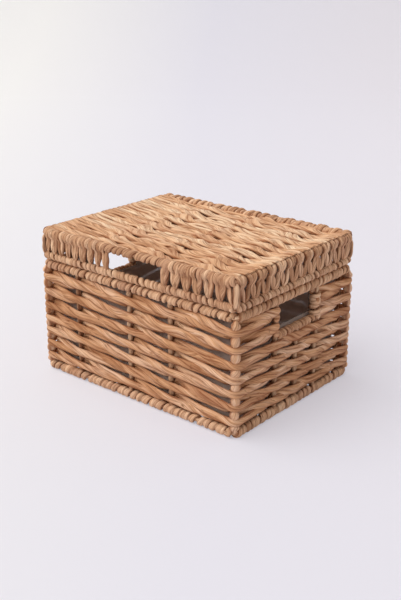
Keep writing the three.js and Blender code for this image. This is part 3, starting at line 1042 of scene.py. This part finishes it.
# A lid post's strand: heights, how far out it lies, its widths and its thicknesses
POST_ROWS = (
    (LOWER_Z + 0.4, -2, 7, 4.6),
    (LOWER_Z + 4.9, 1.6, 8.6, 5.4),
    (LOWER_Z + 10.4, 2.8, 9.6, 6.4),
    (LOWER_Z + 19.4, 2.4, 9.6, 6.4),
    (UPPER_Z - 9.8, 2.4, 9.2, 6),
    (UPPER_Z - 5.3, 0.6, 8, 5),
    (UPPER_Z - 1.8, -2.6, 6, 4),
)
for index, corner in enumerate(CORNERS):
    side = LID_SIDES[index]
    away = unit(side.out + LID_SIDES[index - 1].out)
    rows = []
    for z, d, width, thick in POST_ROWS:
        rows.append([*(side.point(-side.reach, 0, z) + away * d), *away, width, thick])
    strand = make_leg(rows, seeded(820 + index), sides=16, step=2)
    strand["tint"] = 0.95
    build(f"lid_post_{corner}", "strand", [strand], LACE)

cross_rods("lid_stake", 840)


# Liner

def film_material(name, colour, alpha, rough):
    """Clear sheet with a haze, so that it is clearer and shinier in some places."""
    material = bpy.data.materials.new(name)
    tree = Shading(material)
    where = tree.add("TexCoord").outputs["Object"]
    haze = tree.noise(where, 9, 3)
    relief = tree.add("Bump", {"Strength": 0.2, "Distance": 0.004, "Height": tree.noise(where, 14)})
    tree.fill(tree.nodes["Principled BSDF"], {
        "Base Color": (*colour, 1),
        "IOR": 1.49,
        "Specular IOR Level": 0.2,
        "Alpha": tree.ramp(haze, (0.35, alpha * 0.8), (0.75, alpha * 1.25)),
        "Roughness": tree.ramp(haze, (0.3, rough), (0.8, rough * 2.2)),
        "Normal": relief.outputs["Normal"],
    })
    return material


FILM = film_material("clear_film", (0.86, 0.72, 0.65), 0.72, 0.4)
FILM_EDGE = film_material("film_edge", (0.5, 0.44, 0.4), 0.3, 0.5)

LINER_LOW, LINER_HIGH = low_high("liner")
LINER_X, LINER_Y = LINER_HIGH[:2] - 0.6
LINER_BEND = 9
LINER_THICK = 0.7
# The notch at a hand hole goes from post to post, down to a little above the bar's middle
NOTCH_Y = centre("handle_bar_right")[1]
NOTCH_HALF = (WALLS[1].stakes[2] - WALLS[1].stakes[0]) / 2
NOTCH_Z = centre("handle_bar_right")[2] + 3.5


def liner_outline():
    """Places round the liner, and the way out at each. Each half is a short side and a long one."""
    flat_x, flat_y = LINER_X - LINER_BEND, LINER_Y - LINER_BEND
    marks = sorted({-flat_y, NOTCH_Y - NOTCH_HALF, NOTCH_Y + NOTCH_HALF, flat_y, 0, -75, 95})

    def bend(sign, x, quarter):
        for turn in np.linspace(quarter, quarter + 1, 7)[:-1] * QUARTER:
            away = (sign * cos(turn), sign * sin(turn))
            yield sign * x + LINER_BEND * away[0], sign * flat_y + LINER_BEND * away[1], away

    around = []
    for sign in (1, -1):
        for a, b in zip(marks[:-1], marks[1:]):
            for y in np.linspace(a, b, max(2, int((b - a) / 9)), endpoint=False):
                around.append((sign * LINER_X, sign * y, (sign, 0)))
        around += bend(sign, flat_x, 0)
        for x in np.linspace(-flat_x, flat_x, 40, endpoint=False):
            around.append((-sign * x, sign * LINER_Y, (0, sign)))
        around += bend(sign, -flat_x, 1)
    return around


def in_notch(a, b, z):
    """Whether the liner is cut away between two places of its outline, above a height."""
    is_short_side = min(abs(a[0]), abs(b[0])) > LINER_X - 0.01
    middle = (a[1] + b[1]) / 2 * np.sign(a[0])
    return is_short_side and abs(middle - NOTCH_Y) < NOTCH_HALF and z > NOTCH_Z - 0.01


def make_liner():
    """An open box of thin clear sheet with rounded upright corners, notched at the hand holes."""
    rng = seeded(900)
    around = liner_outline()
    count = len(around)
    levels = sorted({
        *np.linspace(LINER_LOW[2] + 0.6, NOTCH_Z, 13),
        *np.linspace(NOTCH_Z, LINER_HIGH[2], 6),
    })
    phases = rng.random((6, 2)) * TURN
    waves = [(31 + 9 * n, 27 + 7 * n, 23 + 5 * n, *phase) for n, phase in enumerate(phases)]
    verts, faces = [], []
    for level, z in enumerate(levels):
        give = min(1, (z - levels[0]) / 30)
        for n, (x, y, away) in enumerate(around):
            swell = sum(0.22 * sin(x / a + p) * sin(y / b + z / c + q) for a, b, c, p, q in waves)
            dent = abs(swell) * give
            verts.append(((x - away[0] * dent) / PER_METRE, (y - away[1] * dent) / PER_METRE, z / PER_METRE))
            m = (n + 1) % count
            if level < len(levels) - 1 and not in_notch(around[n], around[m], z):
                low, high = level * count, (level + 1) * count
                faces.append((low + n, low + m, high + m, high + n))
    faces.append(range(count - 1, -1, -1))
    used = sorted({v for face in faces for v in face})
    order = {old: new for new, old in enumerate(used)}
    mesh = bpy.data.meshes.new("liner_sheet")
    mesh.from_pydata([verts[v] for v in used], [], [[order[v] for v in face] for face in faces])
    mesh.shade_smooth()
    mesh.materials.append(FILM)
    mesh.materials.append(FILM_EDGE)
    sheet = show("liner_sheet", mesh, "liner").modifiers.new("thickness", "SOLIDIFY")
    sheet.thickness = LINER_THICK / PER_METRE
    sheet.offset = 1
    sheet.material_offset_rim = 1
    # The cut edge of each notch
    top = LINER_HIGH[2]
    corners = ((-NOTCH_HALF, top), (-NOTCH_HALF, NOTCH_Z), (NOTCH_HALF, NOTCH_Z), (NOTCH_HALF, top))
    edges = []
    for sign in (1, -1):
        line = np.array([[sign * LINER_X, sign * (NOTCH_Y + y), z] for y, z in corners])
        line = soften(even(line, 2))
        edges.append(tube(line, (sign, 0, 0), 0.8, rng, False, sides=8))
    build("liner", "cut_edges", edges, FILM_EDGE)


make_liner()


# Floor, light and camera, in metres

# The ways into the picture and across it, on the floor
VIEW = Vector((-0.643, 0.766))
ACROSS = Vector((0.766, 0.643))


def floor_material():
    """Pale paper with painted light, lightest on the left. For all but diffuse rays part of its brightness is
    a painted glow, which lightens the shadows on it.
    """
    material = bpy.data.materials.new("pale_floor_painted_light")
    tree = Shading(material)
    shader = tree.nodes["Principled BSDF"]
    where = tree.add("TexCoord").outputs["Object"]
    along = tree.add("VectorMath", {0: where, 1: (*ACROSS, -0.25)}, operation="DOT_PRODUCT").outputs["Value"]
    place = tree.add("MapRange", {"Value": along, "From Min": -0.9, "From Max": 0.9}).outputs["Result"]
    # Painted light: lightest on the left where the lamp falls, greyer and bluer to the right
    tone = tree.ramp(
        place, (0, (0.94, 0.93, 0.925)), (0.5, (0.805, 0.793, 0.868)), (1, (0.8, 0.775, 0.83))
    )
    tree.fill(shader, {"Base Color": tone, "Roughness": 0.9, "Specular IOR Level": 0.1})
    # Painted glow: camera, glossy and transmission rays see 46% emission in the floor's tone, which lightens
    # the shadows cast on it
    rays = tree.add("LightPath").outputs
    seen = tree.math("MAXIMUM", rays["Is Camera Ray"], rays["Is Glossy Ray"])
    seen = tree.math("MAXIMUM", seen, rays["Is Transmission Ray"])
    glow = tree.add("Emission", {"Color": tone}).outputs["Emission"]
    share = tree.math("MULTIPLY", seen, 0.46)
    blend = tree.add("MixShader", {"Fac": share, 1: shader.outputs["BSDF"], 2: glow})
    tree.fill(tree.nodes["Material Output"], {"Surface": blend.outputs["Shader"]})
    return material


def make_floor():
    """A pale floor that curves up into a backdrop far behind."""
    far, bend, half_width = 3, 1.5, 9
    profile = [(-6, 0), (0, 0), (far, 0)]
    for turn in np.linspace(0.1, QUARTER, 12):
        profile.append((far + bend * sin(turn), bend - bend * cos(turn)))
    profile.append((far + bend, 6))
    verts = []
    for along, height in profile:
        for across in (-half_width, 0, half_width):
            verts.append((*(VIEW * along + ACROSS * across), height))
    faces = [(a, a + 1, a + 4, a + 3) for a in range(len(verts) - 4) if a % 3 < 2]
    mesh = bpy.data.meshes.new("floor")
    mesh.from_pydata(verts, [], faces)
    mesh.shade_smooth()
    mesh.materials.append(floor_material())
    floor = added("floor", mesh)


def make_world():
    """A dim warm sky. The camera sees a pale wall where the backdrop ends."""
    world = bpy.data.worlds.new("studio")
    tree = Shading(world)
    sky = tree.nodes["Background"]
    tree.fill(sky, {"Color": (1, 0.965, 0.935, 1), "Strength": 0.42})
    wall = tree.add("Background", {"Color": (0.83, 0.8, 0.83, 1)}).outputs["Background"]
    seen = tree.add("LightPath").outputs["Is Camera Ray"]
    either = tree.add("MixShader", {"Fac": seen, 1: sky.outputs["Background"], 2: wall})
    tree.fill(tree.nodes["World Output"], {"Surface": either.outputs["Shader"]})
    return world


def aimed(name, data, place, aim):
    """Puts a lamp or a camera at a place, turned to what it is aimed at."""
    thing = added(name, data)
    thing.location = place
    thing.rotation_euler = (Vector(aim) - thing.location).to_track_quat("-Z", "Y").to_euler()
    return thing


scene = bpy.context.scene
scene.view_settings.view_transform = "Standard"
make_floor()
scene.world = make_world()

key = bpy.data.lights.new("key", "SUN")
key.energy = 2.1
key.angle = radians(70)
key.color = (1, 0.98, 0.95)
aimed("key", key, (-1.2, -1.6, 3.4), (0, 0, 0.1))

lens = bpy.data.cameras.new("camera")
lens.lens = 55.9
lens.sensor_width = 36
lens.clip_end = 50
scene.camera = aimed("camera", lens, (0.86578, -1.02209, 0.61231), (0.031, -0.0272, 0.1323))
